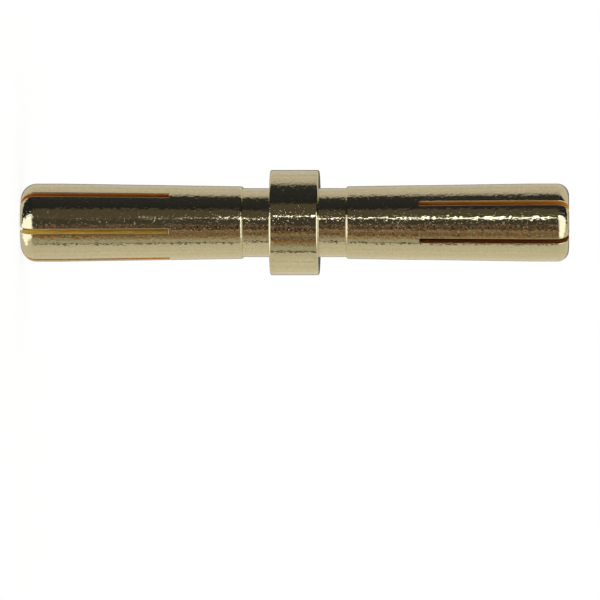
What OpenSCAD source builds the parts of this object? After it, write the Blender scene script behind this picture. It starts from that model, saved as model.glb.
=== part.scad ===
// Double-ended bullet plug for battery leads.
// One bar of brass turned as a single piece and gold plated: a collar in the
// middle, a short neck on each side of it, and on each neck a barrel that
// widens towards a rounded nose. Each barrel is drilled from its end and sawn
// lengthwise, which leaves spring fingers that press outwards in a socket.
// The plug stands on the flat of its lower nose; Z runs along its axis.

/* [Barrels] */
// Diameter of a barrel at its shoulder, the nominal size of the plug
barrel_d = 4.0; // [3:0.05:5.6]
// Diameter over the contact land, where the fingers stand widest
contact_d = 4.3; // [3.6:0.05:5.8]
// Length of a barrel, from its shoulder to its flat end
barrel_len = 12.25; // [9.5:0.05:20]
// Length of the straight contact land behind the nose
land_len = 1.4; // [0.8:0.1:4]
// Rounding of the lower nose, the rounder of the two
lower_nose_r = 0.85; // [0.3:0.05:0.9]
// Rounding of the upper nose, the squarer of the two
upper_nose_r = 0.65; // [0.3:0.05:0.9]
// Bevel that breaks the edge of each shoulder
shoulder_bevel = 0.08; // [0.02:0.01:0.2]

/* [Necks and collar] */
// Diameter of the necks, a little under the barrels
neck_d = 3.8; // [2.6:0.05:5]
// Length of each neck
neck_len = 1.5; // [0.4:0.1:6]
// Diameter of the collar that stops the plug in its sockets
collar_d = 5.8; // [5:0.1:10]
// Length of the collar
collar_len = 2.7; // [1:0.1:8]
// Bevel that breaks the edges of the collar
collar_bevel = 0.1; // [0.02:0.01:0.3]

/* [Spring fingers] */
// Saw cuts right across each end, each of which makes two slots
saw_cuts = 3; // [2:1:4]
// Width of a saw cut
slot_w = 0.25; // [0.1:0.05:0.5]
// Depth of a saw cut on the axis, from the flat end
slot_len = 8.35; // [4:0.05:10]
// Diameter of the saw, which leaves the roots of the slots slightly curved
saw_d = 30; // [24:1:80]
// Turn of the lower slots round the axis
lower_turn = 44; // [0:0.5:60]
// Turn of the upper slots round the axis
upper_turn = 59.5; // [0:0.5:60]
// Diameter of the hole drilled into each end, which thins the fingers
bore_d = 2.4; // [1.4:0.1:2.5]
// Length that the drill runs on past the saw cuts, before its point
bore_past = 0.3; // [0.1:0.1:1]
// Full angle of the drill's point
drill_angle = 118; // [90:1:140]

/* [Hidden] */
$fn = 96;
cut_past = 0.2;
total_len = 2 * (barrel_len + neck_len) + collar_len;
bore_r = bore_d / 2;
bore_len = slot_len + bore_past;
point_len = bore_r / tan(drill_angle / 2);

// What a rounding of radius r takes off a square corner. The corner is at the
// origin and points outwards and down.
module corner_waste(r) {
    difference() {
        translate([-r, -cut_past]) square(r + cut_past);
        translate([-r, r]) circle(r = r);
    }
}

// Outline of one half of the plug, from the flat end at height 0 to the middle
// of the collar. x is the distance from the axis.
module half_outline(nose_r) {
    contact_r = contact_d / 2;
    shoulder_r = barrel_d / 2;
    neck_r = neck_d / 2;
    collar_r = collar_d / 2;
    collar_start = barrel_len + neck_len;
    difference() {
        polygon([
            [0, 0],
            [contact_r, 0],
            [contact_r, nose_r + land_len],
            [shoulder_r, barrel_len - shoulder_bevel],
            [shoulder_r - shoulder_bevel, barrel_len],
            [neck_r, barrel_len],
            [neck_r, collar_start],
            [collar_r - collar_bevel, collar_start],
            [collar_r, collar_start + collar_bevel],
            [collar_r, total_len / 2],
            [0, total_len / 2]
        ]);
        translate([contact_r, 0]) corner_waste(nose_r);
    }
}

// Blind hole up from the flat end, with the cone that the drill's point leaves.
module blind_bore() {
    translate([0, 0, -cut_past]) cylinder(r = bore_r, h = bore_len + cut_past);
    translate([0, 0, bore_len]) cylinder(r1 = bore_r, r2 = 0, h = point_len);
}

// One cut of the disc saw, which is fed into the flat end along the axis.
module saw_cut() {
    translate([0, 0, slot_len - saw_d / 2]) rotate([90, 0, 0])
        cylinder(d = saw_d, h = slot_w, center = true, $fn = 360);
}

// One half of the plug with its bore and its spring fingers.
module half_plug(nose_r, turn) {
    difference() {
        rotate_extrude() half_outline(nose_r);
        blind_bore();
        for (i = [0 : saw_cuts - 1]) rotate([0, 0, turn + i * 180 / saw_cuts]) saw_cut();
    }
}

module connector_body() {
    color("gold") union() {
        half_plug(lower_nose_r, lower_turn);
        translate([0, 0, total_len]) mirror([0, 0, 1]) half_plug(upper_nose_r, upper_turn);
    }
}

connector_body();
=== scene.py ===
# %% [markdown]
# # A double-ended bullet plug, gold plated
#
# The real plug is one small bar of brass, turned on a lathe: a collar in the
# middle, a short neck on each side of it, and on each neck a barrel that widens
# towards a rounded nose. Each barrel is drilled from its end and cut lengthwise
# by a thin disc saw, which leaves six spring fingers. At last the bar is plated
# with gold over nickel.
#
# This lesson makes the plug's whole skin as one closed surface worked out with
# numpy, gives it two finishes, and lights it in a small studio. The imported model
# is loaded first, because every size and place has to agree with it.

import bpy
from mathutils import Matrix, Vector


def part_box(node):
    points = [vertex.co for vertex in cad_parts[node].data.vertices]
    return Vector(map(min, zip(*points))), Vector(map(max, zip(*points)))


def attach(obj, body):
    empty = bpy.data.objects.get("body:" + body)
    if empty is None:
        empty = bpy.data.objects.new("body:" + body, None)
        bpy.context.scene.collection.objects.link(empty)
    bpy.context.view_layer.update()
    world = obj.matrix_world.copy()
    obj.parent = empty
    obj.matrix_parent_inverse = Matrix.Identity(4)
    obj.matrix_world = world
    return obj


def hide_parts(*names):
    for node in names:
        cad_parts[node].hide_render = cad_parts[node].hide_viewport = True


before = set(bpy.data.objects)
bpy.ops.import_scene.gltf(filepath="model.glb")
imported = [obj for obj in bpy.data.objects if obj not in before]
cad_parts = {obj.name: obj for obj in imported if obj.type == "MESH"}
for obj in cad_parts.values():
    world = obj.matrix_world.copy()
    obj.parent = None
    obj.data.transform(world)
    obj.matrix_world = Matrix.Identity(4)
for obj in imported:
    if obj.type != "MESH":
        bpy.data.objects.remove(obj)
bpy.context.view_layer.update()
print("nodes:", sorted(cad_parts))

# %% Modules and the millimetre
import math

import bpy
import numpy as np

MM = 0.001  # Blender's unit is the metre, and the plug is written in millimetres
scene = bpy.context.scene

# %% [markdown]
# ## The sizes
#
# A lathe part is drawn as a half outline: how far the surface is from the axis
# at each height. The heights and the outer radii could be measured on the loaded
# mesh, but that mesh is coarse, so only the whole length and the collar's
# diameter are read from it. The rest is stated here as a drawing would state it.

# %% Sizes in millimetres
box_low, box_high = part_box("connector_body")
LENGTH = (box_high.z - box_low.z) / MM
COLLAR_R = (box_high.x - box_low.x) / MM / 2
COLLAR_LEN = 2.7
NECK_LEN = 1.5
BARREL_LEN = (LENGTH - COLLAR_LEN) / 2 - NECK_LEN
SHOULDER_R = 2.0
CONTACT_R = 2.15
NECK_R = 1.9
LAND_LEN = 1.4
SHOULDER_ROUND = np.array([0.07, 0.15])  # inwards and along: the step is only 0.1 high
COLLAR_ROUND = 0.11
NOSE_R = {"lower": 0.85, "upper": 0.65}
print(f"length {LENGTH:.2f}, collar {2 * COLLAR_R:.2f}, barrel {BARREL_LEN:.2f}")

# %% Sizes of the saw cuts and the hole
SLOTS = 6  # three cuts right across make six slots
HALF_SLOT = 0.125
SLOT_DEPTH = 8.35
SAW_R = 15.0
BORE_R = 1.2
BORE_DEPTH = SLOT_DEPTH + 0.3
POINT_DEPTH = BORE_R / math.tan(math.radians(59))
TURN = {"lower": 44.0, "upper": 59.5}
print(f"hole {2 * BORE_R:.1f} wide and {BORE_DEPTH + POINT_DEPTH:.2f} deep")

# %% [markdown]
# ## The outline, and where its rows go
#
# On the real plug this outline is the path of the lathe tool. It could be a
# curve that is spun, but then the slots would have to be cut out afterwards
# with a Boolean, which leaves thin triangles that show in a mirror finish. Here
# the outline is a list of points, and each point becomes one ring of the
# surface, so the slots can simply be left out between two columns.


# %% Points along a straight stretch or a quarter round
def stretch(start, end, steps):
    """Points on a straight line: start plus t times (end minus start), with t
    from 0 to just under 1 in equal steps."""
    t = np.arange(steps)[:, None] / steps
    return np.asarray(start) + t * (np.asarray(end) - np.asarray(start))


def quarter(centre, radius, from_degrees, steps):
    """Quarter circle anticlockwise from the given angle: the centre plus the
    radius times the cosine and the sine of the angle. Two radii, inwards and
    along, make it a quarter of an ellipse."""
    turn = np.radians(from_degrees + 90 * np.arange(steps) / steps)
    return np.asarray(centre) + radius * np.column_stack([np.cos(turn), np.sin(turn)])


def root_height(radius):
    """Height of a slot's root at a distance from the axis: the saw's own circle,
    so the depth on the axis less how far the circle has curved away there."""
    return SLOT_DEPTH - SAW_R + np.sqrt(SAW_R**2 - np.asarray(radius) ** 2)


# %% The half outline of each end
def cone_r(height, nose_r):
    """Radius on the barrel's cone: a straight line in height from the contact
    radius at the end of the land to the shoulder radius at the shoulder."""
    low = nose_r + LAND_LEN
    return CONTACT_R + (SHOULDER_R - CONTACT_R) * (height - low) / (BARREL_LEN - low)


def half_outline(nose_r):
    """Rows (radius, height) from the flat end to the middle of the collar, and
    the number of the row on which the slots end."""
    land_top = nose_r + LAND_LEN
    root = float(root_height(cone_r(SLOT_DEPTH, nose_r)))
    root_point = [cone_r(root, nose_r), root]
    soft, reach = SHOULDER_ROUND
    round_low = BARREL_LEN - reach
    collar = BARREL_LEN + NECK_LEN
    fingers = [
        quarter([CONTACT_R - nose_r, nose_r], nose_r, -90, 16),
        stretch([CONTACT_R, nose_r], [CONTACT_R, land_top], 8),
        stretch([CONTACT_R, land_top], root_point, 30),
    ]
    body = [
        stretch(root_point, [SHOULDER_R, round_low], 20),
        quarter([SHOULDER_R - soft, round_low], SHOULDER_ROUND, 0, 6),
        stretch([SHOULDER_R - soft, BARREL_LEN], [NECK_R, BARREL_LEN], 1),
        stretch([NECK_R, BARREL_LEN], [NECK_R, collar], 8),
        stretch([NECK_R, collar], [COLLAR_R - COLLAR_ROUND, collar], 6),
        quarter([COLLAR_R - COLLAR_ROUND, collar + COLLAR_ROUND], COLLAR_ROUND, -90, 6),
        stretch([COLLAR_R, collar + COLLAR_ROUND], [COLLAR_R, LENGTH / 2], 6),
    ]
    return np.vstack(fingers + body), sum(len(f) for f in fingers)


outline = {end: half_outline(NOSE_R[end]) for end in NOSE_R}
for end, (rows, root_row) in outline.items():
    print(f"{end} outline: {len(rows)} rows, slots end on row {root_row}")

# %% [markdown]
# ## Columns that follow the saw cuts
#
# A saw cut has the same width all the way, so seen from the axis it covers a
# wider angle on the thin hole than on the thick barrel. The columns of the
# surface therefore shift a little with the radius: each slot keeps its two
# edges at half a saw's width from the middle of the cut.

# %% Angles of the columns at any radius
FINGER_STEPS = 20
SLOT_STEPS = 4
COLUMNS = SLOTS * (FINGER_STEPS + SLOT_STEPS)


def column_angles(radius, turn):
    """Angles of all columns for rows of the given radius and turn. The half
    angle of a slot is the arc sine of half its width over the radius, and stays
    the same inside the hole's cone. A slot's columns share twice that angle
    equally, and a finger's share the rest."""
    radius = np.asarray(radius)[:, None]
    half = np.arcsin(HALF_SLOT / np.maximum(radius, BORE_R))
    pitch = 2 * math.pi / SLOTS
    across_slot = -half + 2 * half * np.arange(SLOT_STEPS) / SLOT_STEPS
    across_finger = half + (pitch - 2 * half) * np.arange(FINGER_STEPS) / FINGER_STEPS
    one = np.concatenate([across_slot, across_finger], axis=1)
    starts = np.repeat(np.arange(SLOTS) * pitch, SLOT_STEPS + FINGER_STEPS)
    return np.tile(one, (1, SLOTS)) + starts + np.radians(turn)[:, None]


def ring_grid(rows, turn):
    """Points (x, y, z) of a turned surface: the radius times the cosine and the
    sine of each column's angle, and the row's height."""
    angle = column_angles(rows[:, 0], turn)
    x = rows[:, :1] * np.cos(angle)
    y = rows[:, :1] * np.sin(angle)
    z = np.broadcast_to(rows[:, 1:], x.shape)
    return np.stack([x, y, z], axis=-1)


# Column numbers of the first strip of every slot, and of the finger after it
slot_start = np.arange(SLOTS) * (SLOT_STEPS + FINGER_STEPS)
in_slot = (slot_start[:, None] + np.arange(SLOT_STEPS)).ravel()
print(f"{COLUMNS} columns, {len(in_slot)} of them in the slots")

# %% [markdown]
# ## The outer skin
#
# The two half outlines meet in the middle of the collar. The slots of the two
# ends don't line up on the real plug, so the columns turn gently from one to the
# other across the collar, where the surface is a plain cylinder and the turn
# can't be seen.

# %% Rows of the whole outside
lower_rows, lower_root = outline["lower"]
upper_rows, upper_root = outline["upper"]
mirrored = upper_rows[::-1] * [1, -1] + [0, LENGTH]
middle = np.array([[COLLAR_R, LENGTH / 2]])
outer_rows = np.vstack([lower_rows, middle, mirrored])

in_collar = np.clip((outer_rows[:, 1] - (LENGTH - COLLAR_LEN) / 2) / COLLAR_LEN, 0, 1)
on_cylinder = np.clip((in_collar - 0.05) / 0.9, 0, 1)
outer_turn = TURN["lower"] + (TURN["upper"] - TURN["lower"]) * on_cylinder
outer_points = ring_grid(outer_rows, outer_turn)
print("outside:", outer_points.shape[0], "rows of", outer_points.shape[1], "points")

# %% [markdown]
# ## The drilled holes
#
# Each hole is a second, smaller turned surface with the cone that the drill's
# point leaves. Its rows up to the slots' roots match the outer rows one for one,
# so that the slot walls can be stretched straight between them.


# %% Rows of one hole
def bore_outline(outer, root_row):
    """Rows (radius, height) of the hole: first one row for each outer row up to
    the root, at the same share of its length as the outer row has along the
    outline, then the rest of the hole and its cone, without the cone's tip."""
    bottom = float(root_height(BORE_R))
    pieces = np.linalg.norm(np.diff(outer[: root_row + 1], axis=0), axis=1)
    along = np.concatenate([[0], np.cumsum(pieces)])
    heights = along / along[-1] * bottom
    fingers = np.column_stack([np.full(len(heights), BORE_R), heights])
    rest = stretch([BORE_R, bottom], [BORE_R, BORE_DEPTH], 3)[1:]
    cone = stretch([BORE_R, BORE_DEPTH], [0, BORE_DEPTH + POINT_DEPTH], 8)
    return np.vstack([fingers, rest, cone])


lower_bore = bore_outline(lower_rows, lower_root)
upper_bore = bore_outline(upper_rows, upper_root)
lower_bore_points = ring_grid(lower_bore, np.full(len(lower_bore), TURN["lower"]))
upper_bore_points = ring_grid(
    upper_bore * [1, -1] + [0, LENGTH], np.full(len(upper_bore), TURN["upper"])
)
print("holes:", len(lower_bore), "and", len(upper_bore), "rows")

# %% [markdown]
# ## Sewing the surfaces together
#
# All points go into one array, and the faces are index patterns over it. A face
# strip between two rows of points is the same small pattern whatever the rows
# are, so one function sews everything: skin, end faces, slot walls and roots.
# The side on which a face's corners run anticlockwise is its outside.

# %% One store for points, one for faces
point_blocks, quad_blocks, finish_blocks, bath_and_light_blocks = [], [], [], []
point_count = 0


def store(points):
    """Adds a grid of points and returns the grid of their numbers."""
    global point_count
    flat = points.reshape(-1, 3)
    numbers = np.arange(point_count, point_count + len(flat))
    point_blocks.append(flat)
    point_count += len(flat)
    return numbers.reshape(points.shape[:-1])


def sew(a, b, c, d, finish, bath_and_light=0.5):
    """Adds one four-sided face for each entry of four equal arrays of point
    numbers, with its corners in the order a, b, c, d. The last argument says how
    well the plating bath reached the faces and, as painted light and shade, how
    brightly they are drawn lit: one number, or one for each of them."""
    quads = np.stack([np.ravel(v) for v in (a, b, c, d)], axis=1)
    quad_blocks.append(quads)
    finish_blocks.append(np.full(len(quads), finish))
    bath_and_light_blocks.append(np.broadcast_to(bath_and_light, np.shape(a)).ravel())


def sew_rings(grid, outward, finish, skip=None):
    """Faces between each row of a grid and the next, round the whole ring. skip
    marks the faces left open, and outward says which way they look."""
    low, high = grid[:-1], grid[1:]
    a, b = low, np.roll(low, -1, axis=1)
    c, d = np.roll(high, -1, axis=1), high
    keep = np.ones(low.shape, bool) if skip is None else ~skip
    corners = [v[keep] for v in ((a, b, c, d) if outward else (d, c, b, a))]
    sew(*corners, finish)


PLATE, CUT = 0, 1  # numbers of the two finishes
# Per slot, from 0 to 1: how well the gold bath reached it, which is never even,
# and painted light and shade, since a slot that catches more light is drawn brighter
BATH_AND_LIGHT = {
    "lower": np.array([0.5, 0.4, 0.5, 0.3, 1.0, 0.4]),
    "upper": np.array([0.5, 0.4, 0.6, 0.45, 0.0, 0.5]),
}

# %% Outer skin, with the slots left open
outer_ids = store(outer_points)
total_rows = len(outer_rows)
open_faces = np.zeros((total_rows - 1, COLUMNS), bool)
open_faces[:lower_root, in_slot] = True
open_faces[total_rows - 1 - upper_root :, in_slot] = True
sew_rings(outer_ids, True, PLATE, open_faces)
print("skin faces:", len(quad_blocks[0]))


# %% One end: its hole, its flat face, its slot walls and roots
def close_end(outer, hole_points, root_row, upward, baths_and_light):
    """Sews the hole to the outer skin. outer holds the numbers of the outer
    rows from the flat end inwards. upward is true for the lower end, whose
    rows go up. A wall is ruled: each of its faces runs straight from the edge
    of the outer skin to the matching edge of the hole."""
    hole = store(hole_points)
    skip = np.zeros((len(hole) - 1, COLUMNS), bool)
    skip[:root_row, in_slot] = True
    sew_rings(hole, not upward, CUT, skip)

    deep = 2 * hole_points[-1, 0, 2] - hole_points[-2, 0, 2]  # one more equal step
    tip = store(np.array([[0, 0, deep]]))
    fans.append((hole[-1], np.roll(hole[-1], -1), tip[0], upward))

    finger = np.setdiff1d(np.arange(COLUMNS), in_slot)
    beside = (finger + 1) % COLUMNS
    face = (outer[0, finger], outer[0, beside], hole[0, beside], hole[0, finger])
    sew(*(face[::-1] if upward else face), PLATE)

    low, high = slice(0, root_row), slice(1, root_row + 1)
    for column, left in ((slot_start, True), (slot_start + SLOT_STEPS, False)):
        a, b = outer[low, column], hole[low, column]
        c, d = hole[high, column], outer[high, column]
        sew(*((a, b, c, d) if left == upward else (a, d, c, b)), CUT, baths_and_light)

    across = in_slot + 1
    a, b = outer[root_row, in_slot], hole[root_row, in_slot]
    c, d = hole[root_row, across], outer[root_row, across]
    sew(*((a, b, c, d) if upward else (a, d, c, b)), CUT, np.repeat(baths_and_light, SLOT_STEPS))


fans = []
close_end(outer_ids, lower_bore_points, lower_root, True, BATH_AND_LIGHT["lower"])
close_end(outer_ids[::-1], upper_bore_points, upper_root, False, BATH_AND_LIGHT["upper"])
print("points:", point_count, " four-sided faces:", sum(len(q) for q in quad_blocks))

# %% [markdown]
# ## From arrays to a mesh
#
# foreach_set hands whole arrays to Blender at once, which is far quicker than
# adding vertices one by one. The drill points end in small triangle fans, so the
# mesh has faces of three and of four corners.

# %% Only the points that a face uses
quads = np.vstack(quad_blocks)
tris = []
for ring, after, tip, upward in fans:
    tip = np.full(len(ring), tip)
    tris.append(np.column_stack((after, ring, tip) if upward else (ring, after, tip)))
corners = np.concatenate([quads.ravel(), np.vstack(tris).ravel()])
used, corners = np.unique(corners, return_inverse=True)
points = np.vstack(point_blocks)[used] * MM
sizes = np.concatenate([np.full(len(quads), 4), np.full(sum(map(len, tris)), 3)])
finish = np.concatenate(finish_blocks + [np.full(sum(map(len, tris)), CUT)])
bath_and_light = np.concatenate(bath_and_light_blocks + [np.full(sum(map(len, tris)), 0.5)])
print(len(points), "points and", len(sizes), "faces are left")

# %% The mesh of the plug
mesh = bpy.data.meshes.new("bullet_plug")
mesh.vertices.add(len(points))
mesh.vertices.foreach_set("co", points.ravel())
mesh.loops.add(len(corners))
mesh.loops.foreach_set("vertex_index", corners.astype(np.int32))
mesh.polygons.add(len(sizes))
mesh.polygons.foreach_set("loop_start", np.cumsum(sizes) - sizes)
mesh.polygons.foreach_set("material_index", finish.astype(np.int32))
mesh.update(calc_edges=True)
# one number on each face: its slot's plating and its painted light and shade
reached_and_lit = mesh.attributes.new("bath_and_light", "FLOAT", "FACE")
reached_and_lit.data.foreach_set("value", bath_and_light.astype(np.float32))
problems = mesh.validate(verbose=False)
print("mesh:", len(mesh.vertices), "points,", len(mesh.polygons), "faces; mended:", problems)

# %% Is it closed, and does it look outwards?
import bmesh

check = bmesh.new()
check.from_mesh(mesh)
open_edges = sum(1 for e in check.edges if not e.is_manifold)
flips = sum(1 for e in check.edges if e.is_manifold and not e.is_contiguous)
volume = check.calc_volume(signed=True) / MM**3
print(f"volume {volume:.1f} mm3, {open_edges} open edges, {flips} flips")
check.free()

# %% [markdown]
# ## Broken edges
#
# No turned or sawn edge is perfectly sharp: the plating rounds it by a few
# hundredths of a millimetre, and that thin round catches the light as a bright
# line. The Bevel modifier adds it on every edge that turns by more than 30
# degrees, and the faces beside it keep their own normals. The long edges of the
# slots rub against the other parts in the barrel, so they are rounder: each
# edge has a weight, and its round is that weight times the widest one. The
# clamp is off, because one narrow face would make every round in the mesh thin.

# %% Which edges are rounded, and how much
WIDEST_ROUND = 0.05 * MM
SLOT_EDGE, OTHER_EDGE = 1.0, 0.4  # shares of the widest round
mesh.polygons.foreach_set("use_smooth", np.ones(len(mesh.polygons), bool))
mesh.set_sharp_from_angle(angle=math.radians(30))
sharp = np.zeros(len(mesh.edges), bool)
mesh.attributes["sharp_edge"].data.foreach_get("value", sharp)
ends = np.zeros(2 * len(mesh.edges), np.int32)
mesh.edges.foreach_get("vertices", ends)
ends = ends.reshape(-1, 2)
rims = np.concatenate([slot_start, slot_start + SLOT_STEPS])
fingers = np.r_[2 : lower_root + 1, total_rows - 1 - upper_root : total_rows - 2]
on_rim = np.isin(used, outer_ids[np.ix_(fingers, rims)])[ends].all(axis=1)
# The short edges across the flat ends stay sharp, or their rounds would fold
radii, heights = np.hypot(points[:, 0], points[:, 1]) / MM, points[:, 2] / MM
at_end = (np.minimum(heights, LENGTH - heights) < 1e-4)[ends].all(axis=1)
across_face = at_end & (np.ptp(radii[ends], axis=1) > 0.05)
weight = np.where(on_rim, SLOT_EDGE, OTHER_EDGE) * (sharp & ~across_face)
weights = mesh.attributes.new("bevel_weight_edge", "FLOAT", "EDGE")
weights.data.foreach_set("value", weight.astype(np.float32))
along_slots = int((weight == SLOT_EDGE).sum())
print(int(sharp.sum()), "sharp edges,", along_slots, "of them along slots")

# %% The object with its bevel
plug = bpy.data.objects.new("bullet_plug", mesh)
scene.collection.objects.link(plug)
bevel = plug.modifiers.new("broken edges", "BEVEL")
bevel.limit_method = "WEIGHT"
bevel.width = WIDEST_ROUND
bevel.segments = 2
bevel.harden_normals = True
bevel.use_clamp_overlap = False
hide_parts("connector_body")
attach(plug, "root")
shaped = plug.evaluated_get(bpy.context.evaluated_depsgraph_get()).to_mesh()
shaped.calc_loop_triangles()
print("triangles with the bevel:", len(shaped.loop_triangles))


# %% [markdown]
# ## Colour and node helpers
#
# Colours are written as sRGB hex, the way a colour card gives them, and Blender
# computes with linear light, so one function turns the one into the other.
# Another adds a node with its settings and its links, for every kind of node.


# %% Hex to linear, and one node
def linear(hex_colour, level=1.0):
    """Each channel over 255; up to 0.04045 it is divided by 12.92, above that
    it is (value + 0.055) over 1.055, to the power 2.4. Level scales the result."""
    channels = [int(hex_colour[i : i + 2], 16) / 255 for i in (1, 3, 5)]
    curve = [c / 12.92 if c <= 0.04045 else ((c + 0.055) / 1.055) ** 2.4 for c in channels]
    return [c * level for c in curve] + [1.0]


def add_node(tree, kind, settings=(), **inputs):
    """Adds one node. settings are attributes of the node, and each input is
    either a plain value or another node's output, which is linked."""
    node = tree.nodes.new(kind)
    for name, value in dict(settings).items():
        setattr(node, name, value)
    for name, value in inputs.items():
        key = int(name[3:]) if name.startswith("in_") else name.replace("_", " ")
        if isinstance(value, bpy.types.NodeSocket):
            tree.links.new(value, node.inputs[key])
        else:
            node.inputs[key].default_value = value
    return node


def colour_ramp(tree, position, stops):
    """A ramp of colours for a position from 0 to 1. Each stop is its place, its
    hex colour and, if that is brighter than white, a level."""
    ramp = add_node(tree, "ShaderNodeValToRGB", Fac=position)
    elements = ramp.color_ramp.elements
    for i, (spot, hex_colour, *level) in enumerate(stops):
        stop = elements[i] if i < 2 else elements.new(spot)
        stop.position, stop.color = spot, linear(hex_colour, *level)
    return ramp.outputs["Color"]


print("gold #D9CB9A is", [round(c, 3) for c in linear("#D9CB9A")])


# %% [markdown]
# ## Gold plate
#
# The finish is hard gold, a few tenths of a micrometre, electroplated over
# nickel on turned brass. Connector gold like this is pale and slightly green.
# It is a metal, so metallic is 1 and the colour is its reflection, the IOR stays
# as it is, and a polished plate has a roughness of about 0.1. Small parts are
# plated in a barrel, in which they knock against each other, and that leaves a
# grain of shallow dents with a few small sharp nicks. The real ones are only some
# hundredths of a millimetre across, too fine to show here, so the dents are drawn
# 0.15 mm wide and the nicks 0.09 mm, as coarse as they need to be to show. They
# break every reflected edge into small sparks. The collar is short and thick and
# knocks less, so its dents are about half as deep.

# %% The plated outside
gold = bpy.data.materials.new("barrel plated hard gold")
gold.use_nodes = True
tree = gold.node_tree
shader = tree.nodes["Principled BSDF"]
shader.inputs["Base Color"].default_value = linear("#D9CB9A")
shader.inputs["Metallic"].default_value = 1.0
DENT_WIDE, DENT_DEPTH = 0.15 * MM, 0.0095 * MM
NICK_WIDE, NICK_DEPTH = 0.09 * MM, 0.0031 * MM
WEAR_WIDE = 1.2 * MM  # patches that are a little more or less polished
place = add_node(tree, "ShaderNodeTexCoord").outputs["Object"]
dents = add_node(tree, "ShaderNodeTexNoise", Vector=place, Scale=1 / DENT_WIDE, Detail=0.0)
knocks = add_node(tree, "ShaderNodeTexNoise", Vector=place, Scale=1 / NICK_WIDE, Detail=0.0)
nicks = add_node(  # only the highest few spots of the noise are left
    tree,
    "ShaderNodeMapRange",
    {"interpolation_type": "SMOOTHSTEP"},
    Value=knocks.outputs["Fac"],
    From_Min=0.68,
    From_Max=0.80,
).outputs["Result"]
level_place = add_node(
    tree, "ShaderNodeVectorMath", {"operation": "MULTIPLY"}, in_0=place, in_1=(1, 1, 0)
).outputs[0]
from_axis = add_node(tree, "ShaderNodeVectorMath", {"operation": "LENGTH"}, in_0=level_place)
share = add_node(  # full depth on barrels and necks, less on the collar
    tree,
    "ShaderNodeMapRange",
    Value=from_axis.outputs["Value"],
    From_Min=2.7 * MM,
    From_Max=2.85 * MM,
    To_Min=1.0,
    To_Max=0.55,
)
coarse = add_node(
    tree,
    "ShaderNodeBump",
    Height=dents.outputs["Fac"],
    Distance=DENT_DEPTH,
    Strength=share.outputs["Result"],
)
fine = add_node(
    tree,
    "ShaderNodeBump",
    Height=nicks,
    Distance=NICK_DEPTH,
    Strength=1.0,
    Normal=coarse.outputs["Normal"],
)
tree.links.new(fine.outputs["Normal"], shader.inputs["Normal"])
wear = add_node(tree, "ShaderNodeTexNoise", Vector=place, Scale=1 / WEAR_WIDE, Detail=3.0)
haze = add_node(
    tree,
    "ShaderNodeMapRange",
    Value=wear.outputs["Fac"],
    From_Min=0.35,
    From_Max=0.7,
    To_Min=0.07,
    To_Max=0.11,
)
tree.links.new(haze.outputs["Result"], shader.inputs["Roughness"])
plug.data.materials.append(gold)
print("finish:", gold.name, "with", len(tree.nodes), "nodes")

# %% [markdown]
# ## Gold in the saw cuts
#
# The saw and the drill leave rougher walls, and little gold reaches down there,
# so the warm brass shows through. The cuts are narrow and light bounces in them
# several times, which makes their colour deeper still. Some slots get more gold
# than others, and each slot is also painted lighter or darker by how much light
# falls into it; the mesh keeps one number on each face for both. The saw leaves
# fine lines across the walls. They are some hundredths of a millimetre apart, too
# fine to show here, so they are drawn about 0.3 mm apart.

# %% The cut surfaces
cuts = bpy.data.materials.new("thin gold on sawn brass")
cuts.use_nodes = True
tree = cuts.node_tree
shader = tree.nodes["Principled BSDF"]
reached_and_lit = add_node(tree, "ShaderNodeAttribute", {"attribute_name": "bath_and_light"}).outputs["Fac"]
# From almost bare brass to full gold. The number is partly how well the bath
# reached the wall and partly painted light: slots that catch more light are drawn brighter
tones = [(0, "#A86D24"), (0.3, "#DC9741"), (0.45, "#EDBC55"), (1, "#FFEE98")]
tree.links.new(colour_ramp(tree, reached_and_lit, tones), shader.inputs["Base Color"])
shader.inputs["Metallic"].default_value = 1.0
shader.inputs["Roughness"].default_value = 0.7
LINE_DEPTH = 0.002 * MM
place = add_node(tree, "ShaderNodeTexCoord").outputs["Object"]
# The wave pattern is the sine of 20 times the scaled place, so a scale of one
# for each millimetre puts the lines 2 pi / 20, or 0.31 mm, apart
lines = add_node(
    tree,
    "ShaderNodeTexWave",
    {"wave_type": "BANDS", "bands_direction": "Z"},
    Vector=place,
    Scale=1 / MM,
    Distortion=1.5,
)
ridges = add_node(
    tree, "ShaderNodeBump", Height=lines.outputs["Fac"], Distance=LINE_DEPTH, Strength=1.0
)
tree.links.new(ridges.outputs["Normal"], shader.inputs["Normal"])
plug.data.materials.append(cuts)
print("finish:", cuts.name, "with", len(tree.nodes), "nodes")

# %% [markdown]
# ## The studio
#
# A mirror finish shows its surroundings more than itself, so a studio for small
# bright things is built of white cards, black flags and lamps round the piece.
# They could be planes in the scene, but those would be in the way of other
# views. Here the world holds them: a ring of panels, each at its own angle
# round the plug, and for rays that leave steeply a big lamp with a black flag
# along one edge and white cards round them. Above and below are the same, so
# both noses get the lamp. Angle 0 is towards the camera, and positive angles go
# to the plug's -X side. Only reflections see the panels. All other light is
# plain white and comes evenly from everywhere, as in a light tent.

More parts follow.
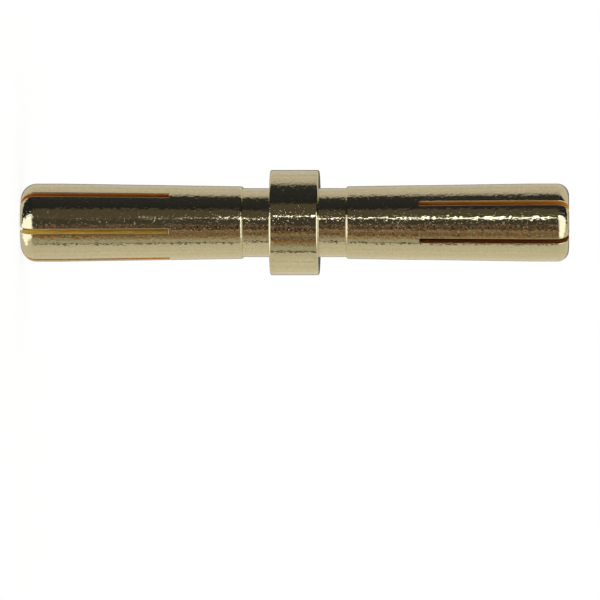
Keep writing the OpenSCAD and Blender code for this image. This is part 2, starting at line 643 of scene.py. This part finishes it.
# %% The ring of panels
RING = [  # angle in degrees and colour; the colours run into each other
    (-180, "#6E6A66"), (-166, "#A8A49E"), (-156, "#E6E4E6"), (-70.5, "#CFD0D4"),
    (-69, "#4E4848"), (-66.5, "#4E4848"), (-65, "#B7B5AF"), (-56, "#ACACAC"),
    (-48, "#8C8C7C"), (-46, "#B0855E"), (-43.5, "#B5855C"), (-41.5, "#77604E"),
    (-38, "#6E625B"), (-33, "#6F665F"), (-27, "#8A7B6C"), (-23, "#8E6E58"),
    (-18, "#5A504A"), (-14, "#5A504A"), (-10, "#72605A"), (-6, "#4A4646"),
    (8, "#474547"), (11, "#5E5250"), (20, "#56524C"), (39, "#58534D"),
    (44, "#2A2C34"), (88, "#34373F"), (96, "#B4B2BC"), (104, "#CFCDD6"),
    (150, "#DAD8DC"), (158, "#C4C2BC"), (166, "#6E6A66"), (180, "#5A5652"),
]
LAMP, LAMP_LEVEL = "#DCE6FF", 2.0  # twice as bright as a white card
CARD, FLAG = "#D8D8DA", "#2A2B31"
STEEP = [math.sin(math.radians(degrees)) for degrees in (13, 32)]  # ring to overhead
print(len(RING), "stops; the lamp is", LAMP_LEVEL, "times white")

# %% Directions round the plug
world = bpy.data.worlds.new("card studio")
scene.world = world
world.use_nodes = True
world.cycles.sampling_method = "NONE"
tree = world.node_tree
tree.nodes.clear()
aim = add_node(tree, "ShaderNodeTexCoord").outputs["Generated"]
turned = add_node(
    tree, "ShaderNodeVectorMath", {"operation": "MULTIPLY"}, in_0=aim, in_1=(-1, -1, 1)
).outputs[0]
side, front, height = add_node(tree, "ShaderNodeSeparateXYZ", Vector=turned).outputs
around = add_node(tree, "ShaderNodeMath", {"operation": "ARCTAN2"}, in_0=side, in_1=front)
position = add_node(  # the angle plus 180 degrees, over 360
    tree,
    "ShaderNodeMath",
    {"operation": "MULTIPLY_ADD"},
    in_0=around.outputs[0],
    in_1=1 / (2 * math.pi),
    in_2=0.5,
).outputs[0]
stops = [((angle + 180) / 360, hex_colour) for angle, hex_colour in RING]
ring = colour_ramp(tree, position, stops)
print("directions and ring:", len(tree.nodes), "nodes")

# %% [markdown]
# ## Uneven light
#
# A real room behind the panels is never one even tone. A noise over all
# directions makes the ring's light a little uneven, and much more so in one
# stretch, where the dark things of the room show. The steep grain of the plate
# turns that into single bright and dark specks.

# %% The ring's uneven light
ROOM_FROM, ROOM_TO = (0.365, 0.385), (0.49, 0.475)  # both soft ends, by position
EVENLY, IN_ROOM = 0.9, 4.0  # how strongly the noise shows, and how much more there
PATCHES_A_RADIAN = 16.0
room = 1.0
for start, end in (ROOM_FROM, ROOM_TO):
    room = add_node(
        tree,
        "ShaderNodeMapRange",
        {"interpolation_type": "SMOOTHSTEP"},
        Value=position,
        From_Min=start,
        From_Max=end,
        To_Max=room,
    ).outputs["Result"]
patches = add_node(tree, "ShaderNodeTexNoise", Vector=aim, Scale=PATCHES_A_RADIAN, Detail=1.0)
level = add_node(
    tree, "ShaderNodeMath", {"operation": "SUBTRACT"}, in_0=patches.outputs["Fac"], in_1=0.5
)
contrast = add_node(
    tree, "ShaderNodeMath", {"operation": "MULTIPLY_ADD"}, in_0=room, in_1=IN_ROOM, in_2=EVENLY
)
level = add_node(
    tree,
    "ShaderNodeMath",
    {"operation": "MULTIPLY_ADD"},
    in_0=level.outputs[0],
    in_1=contrast.outputs[0],
    in_2=1.0,
)
level = add_node(
    tree, "ShaderNodeMath", {"operation": "MAXIMUM"}, in_0=level.outputs[0], in_1=0.0
)
ring = add_node(
    tree, "ShaderNodeVectorMath", {"operation": "SCALE"}, in_0=ring, Scale=level.outputs[0]
).outputs[0]
print("nodes so far:", len(tree.nodes))


# %% The lamp and the flag overhead
def behind_edge(way, start, end, within=1.0, shift=0.0):
    """Share of a panel behind one straight soft edge: the dot product of the
    direction and way, plus shift, goes from start, where the share is 0, to
    end, where it is within. It is smooth between them."""
    lean = add_node(
        tree, "ShaderNodeVectorMath", {"operation": "DOT_PRODUCT"}, in_0=aim, in_1=way
    )
    moved = add_node(
        tree, "ShaderNodeMath", {"operation": "ADD"}, in_0=lean.outputs["Value"], in_1=shift
    )
    return add_node(
        tree,
        "ShaderNodeMapRange",
        {"interpolation_type": "SMOOTHSTEP"},
        Value=moved.outputs[0],
        From_Min=start,
        From_Max=end,
        To_Max=within,
    ).outputs["Result"]


LAMP_TO_FLAG = (-1, 0.33, 0)
reach = add_node(  # below the plug the lamp goes further back than above it
    tree,
    "ShaderNodeMapRange",
    Value=height,
    From_Min=-0.2,
    From_Max=0.2,
    To_Min=0.55,
    To_Max=0.1,
).outputs["Result"]
lamp_share = behind_edge(LAMP_TO_FLAG, 0.14, 0.08)
lamp_share = behind_edge((-1, 0, 0), -0.72, -0.64, within=lamp_share)
lamp_share = behind_edge((-0.5, -1, 0), -0.04, 0.04, within=lamp_share, shift=reach)
flag_share = behind_edge(LAMP_TO_FLAG, 0.08, 0.14)
flag_share = behind_edge((0.55, -1, 0), -0.60, -0.52, within=flag_share)
print("nodes so far:", len(tree.nodes))

# %% The world's two lights
rise = add_node(tree, "ShaderNodeMath", {"operation": "ABSOLUTE"}, in_0=height)
steepness = add_node(
    tree,
    "ShaderNodeMapRange",
    {"interpolation_type": "SMOOTHSTEP"},
    Value=rise.outputs[0],
    From_Min=STEEP[0],
    From_Max=STEEP[1],
)
panels = linear(CARD)
for share, panel in (
    (flag_share, linear(FLAG)),
    (lamp_share, linear(LAMP, LAMP_LEVEL)),
):
    panels = add_node(
        tree, "ShaderNodeMix", {"data_type": "RGBA"}, in_0=share, in_6=panels, in_7=panel
    ).outputs[2]
panels = add_node(
    tree,
    "ShaderNodeMix",
    {"data_type": "RGBA"},
    in_0=steepness.outputs["Result"],
    in_6=ring,
    in_7=panels,
).outputs[2]
mirrored_light = add_node(tree, "ShaderNodeBackground", Color=panels, Strength=1.0)
plain_light = add_node(tree, "ShaderNodeBackground", Color=linear("#FFFFFF"), Strength=1.0)
light = add_node(
    tree,
    "ShaderNodeMixShader",
    in_0=add_node(tree, "ShaderNodeLightPath").outputs["Is Glossy Ray"],
    in_1=plain_light.outputs[0],
    in_2=mirrored_light.outputs[0],
)
add_node(tree, "ShaderNodeOutputWorld", Surface=light.outputs[0])
print("nodes in the studio:", len(tree.nodes))

# %% [markdown]
# ## The strip lamp
#
# One thin bright line runs along the barrels, strong near the upper end and
# fading out towards the lower one. A lamp far away would draw it evenly, so it
# has to come from a strip that stands close to the plug. It is a tall narrow
# plane whose light fades towards its foot, and only reflections see it. It holds
# two tubes, one above the other, and the dark sleeve between them makes the gap
# in the line at the collar.

# %% A tall strip beside the camera's line
STRIP_ANGLE = math.radians(13.0)
STRIP_AWAY, STRIP_WIDE = 60 * MM, 1.6 * MM
STRIP_LOW, STRIP_HIGH = 2 * MM, 60 * MM
STRIP_POWER = 10.0
TUBES = [  # height in mm and share of the full power
    (5, 0.0), (7.5, 0.015), (9.6, 0.06), (10.6, 0.5),
    (11.5, 0.6), (11.8, 0.06), (14.2, 0.06), (14.6, 1.0),
]
out = np.array([-math.sin(STRIP_ANGLE), -math.cos(STRIP_ANGLE), 0])
along = np.array([math.cos(STRIP_ANGLE), -math.sin(STRIP_ANGLE), 0]) * STRIP_WIDE / 2
middle_line = out * STRIP_AWAY
corners = [
    middle_line + s * along + [0, 0, height]
    for s, height in ((-1, STRIP_LOW), (1, STRIP_LOW), (1, STRIP_HIGH), (-1, STRIP_HIGH))
]
strip_mesh = bpy.data.meshes.new("strip_lamp")
strip_mesh.from_pydata([tuple(c) for c in corners], [], [(0, 1, 2, 3)])
strip = bpy.data.objects.new("strip_lamp", strip_mesh)
scene.collection.objects.link(strip)
strip.visible_camera = strip.visible_diffuse = strip.visible_shadow = False

# %% Its fading light
RAMP_TOP = 20  # mm; above this height the light is even
glow = bpy.data.materials.new("fading strip lamp")
glow.use_nodes = True
tree = glow.node_tree
tree.nodes.clear()
place = add_node(tree, "ShaderNodeTexCoord").outputs["Object"]
height = add_node(tree, "ShaderNodeSeparateXYZ", Vector=place).outputs["Z"]
spot = add_node(tree, "ShaderNodeMapRange", Value=height, From_Max=RAMP_TOP * MM)
stops = [(at / RAMP_TOP, "#FFFFFF", share) for at, share in TUBES]
fade = colour_ramp(tree, spot.outputs["Result"], stops)
power = add_node(
    tree, "ShaderNodeMath", {"operation": "MULTIPLY"}, in_0=fade, in_1=STRIP_POWER
).outputs[0]
lamp = add_node(tree, "ShaderNodeEmission", Color=linear("#DCE8FF"), Strength=power)
clear = add_node(tree, "ShaderNodeBsdfTransparent")
whole = add_node(tree, "ShaderNodeAddShader", in_0=lamp.outputs[0], in_1=clear.outputs[0])
add_node(tree, "ShaderNodeOutputMaterial", Surface=whole.outputs[0])
glow.cycles.emission_sampling = "NONE"
strip_mesh.materials.append(glow)
print("strip lamp", round(STRIP_AWAY / MM), "mm from the plug's axis")

# %% [markdown]
# ## The floor
#
# The plug stands on the flat of its lower nose on a plain pale table top. The
# camera looks almost along the table, so the table is also the background. For
# the camera it is nearly all plain white and only a small part of it answers to
# light, which keeps the plug's shadow soft. Reflections pass through it, so that
# the panels below the table's edge still show in the lower nose.

# %% A pale table top
HALF_TABLE = 40.0  # metres, so that its edge is never seen
PLAIN_WHITE = 0.8  # share of the table that doesn't answer to light
floor_mesh = bpy.data.meshes.new("table_top")
square = ((-1, -1), (1, -1), (1, 1), (-1, 1))
corners = [(x * HALF_TABLE, y * HALF_TABLE, 0) for x, y in square]
floor_mesh.from_pydata(corners, [], [(0, 1, 2, 3)])
floor = bpy.data.objects.new("table_top", floor_mesh)
scene.collection.objects.link(floor)
floor.visible_glossy = False
pale = bpy.data.materials.new("white painted table")
pale.use_nodes = True
tree = pale.node_tree
tree.nodes.clear()
paint = add_node(tree, "ShaderNodeBsdfDiffuse", Color=linear("#F4F4F2"))
white = add_node(tree, "ShaderNodeEmission", Color=linear("#FFFFFF"), Strength=1.03)
for_camera = add_node(tree, "ShaderNodeLightPath").outputs["Is Camera Ray"]
share = add_node(
    tree, "ShaderNodeMath", {"operation": "MULTIPLY"}, in_0=for_camera, in_1=PLAIN_WHITE
).outputs[0]
top = add_node(
    tree, "ShaderNodeMixShader", in_0=share, in_1=paint.outputs[0], in_2=white.outputs[0]
)
add_node(tree, "ShaderNodeOutputMaterial", Surface=top.outputs[0])
pale.cycles.emission_sampling = "NONE"
floor_mesh.materials.append(pale)
print("table top", 2 * HALF_TABLE, "m square")

# %% [markdown]
# ## The camera
#
# The plug is seen from the side with its axis across the view, so the camera
# lies on its side: its right is the plug's upper end. It looks down by two
# degrees, which shows a sliver of the collar's upper face, from far off through
# a long lens, so the outlines stay nearly parallel.

# %% A long lens from the side
DOWN = math.radians(2.0)
AWAY = 605 * MM
FIELD_WIDE = 33.065 * MM  # how much of the plug's plane the view takes in
look_at = np.array([4.265, 0.0, 15.38]) * MM
right = np.array([0, math.sin(DOWN), math.cos(DOWN)])
up = np.array([-1.0, 0, 0])
back = np.array([0, -math.cos(DOWN), math.sin(DOWN)])
where = look_at + back * AWAY
lens = bpy.data.cameras.new("long lens")
lens.sensor_width = 36.0
lens.lens = lens.sensor_width * AWAY / FIELD_WIDE
lens.clip_start, lens.clip_end = 0.01, 200.0
camera = bpy.data.objects.new("camera", lens)
matrix = np.eye(4)
matrix[:3, 0], matrix[:3, 1], matrix[:3, 2], matrix[:3, 3] = right, up, back, where
from mathutils import Matrix

camera.matrix_world = Matrix(matrix.tolist())
scene.collection.objects.link(camera)
scene.camera = camera
print(f"lens {lens.lens:.0f} mm, {AWAY:.3f} m away")

# %% Plain view settings
scene.view_settings.view_transform = "Standard"
